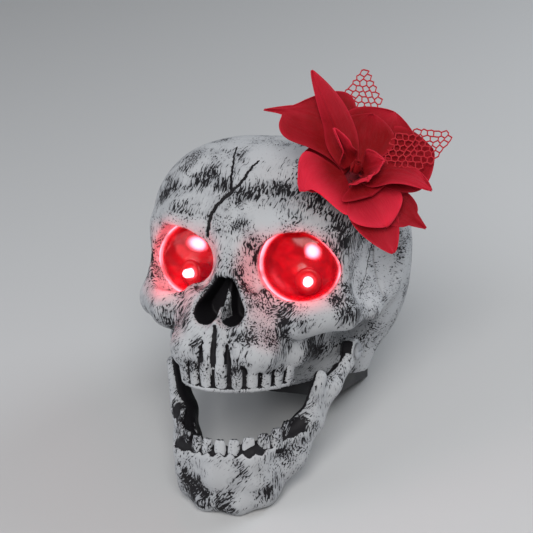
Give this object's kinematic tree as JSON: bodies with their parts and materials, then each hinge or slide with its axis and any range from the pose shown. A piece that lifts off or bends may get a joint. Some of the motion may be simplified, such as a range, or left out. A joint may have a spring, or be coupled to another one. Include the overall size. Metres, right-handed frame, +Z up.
{
  "type": "halloween skull decoration",
  "caption": "Light-up plastic skull prop with a hinged open jaw, glowing red lens eyes, a fabric flower with net on the temple and a battery base.",
  "frame": {"origin": "middle of the object's box on the surface that it stands on", "axes": "+Z up, the face looks along -Y and upwards, +X to the skull's left"},
  "size_m": [0.176, 0.213, 0.2087],
  "materials": {
    "bone": "bone-white moulded plastic with a black ageing wash",
    "black_plastic": "matt black moulding",
    "red_lens": "clear red glossy moulding",
    "red_cup": "glossy red moulding",
    "led": "lit red lamp",
    "steel": "plated steel",
    "board": "green circuit board",
    "cell": "plain cell jacket",
    "wire": "red wire sleeve",
    "felt": "felt over a foam core",
    "petal": "red satin-weave cloth petals",
    "net": "open red net"
  },
  "bodies": {
    "skull": {"face_shell": "bone", "rear_shell": "bone", "base_housing": "black_plastic", "base_screw_1": "steel", "base_screw_2": "steel", "base_screw_3": "steel", "base_screw_4": "steel", "switch_body": "black_plastic", "circuit_board": "board", "battery_1": "cell", "battery_2": "cell", "battery_3": "cell", "battery_spring_1": "steel", "battery_spring_2": "steel", "battery_spring_3": "steel", "contact_1": "steel", "contact_2": "steel", "contact_3": "steel", "contact_4": "steel", "hinge_screw_left": "steel", "hinge_screw_right": "steel", "hinge_washer_left": "black_plastic", "hinge_washer_right": "black_plastic", "eye_cup_left": "red_cup", "eye_cup_right": "red_cup", "eye_lens_left": "red_lens", "eye_lens_right": "red_lens", "led_left": "led", "led_right": "led", "led_holder_left": "red_cup", "led_holder_right": "red_cup", "led_lead_left": "wire", "led_lead_right": "wire", "flower_pad": "felt", "flower_peg": "felt", "petal_layer_1": "petal", "petal_layer_2": "petal", "petal_layer_3": "petal", "petal_layer_4": "petal", "flower_bud": "petal", "net_top": "net", "net_right": "net"},
    "jaw": {"jaw": "bone"},
    "battery_door": {"battery_door": "black_plastic", "battery_door_screw": "steel"},
    "switch_knob": {"switch_knob": "black_plastic"}
  },
  "joints": [
    {"name": "jaw_hinge", "type": "hinge", "parent": "skull", "child": "jaw", "pos_m": [-0.01859, -0.02025, 0.05655], "axis": [1, 0, 0], "range_deg": [-22, 0]},
    {"name": "switch_slide", "type": "slide", "parent": "skull", "child": "switch_knob", "axis": [-1, 0, 0], "range_m": [0, 0.004]},
    {"name": "battery_door_lift", "type": "slide", "parent": "skull", "child": "battery_door", "axis": [0, -0.3672, -0.9302], "range_m": [0, 0.012]}
  ]
}
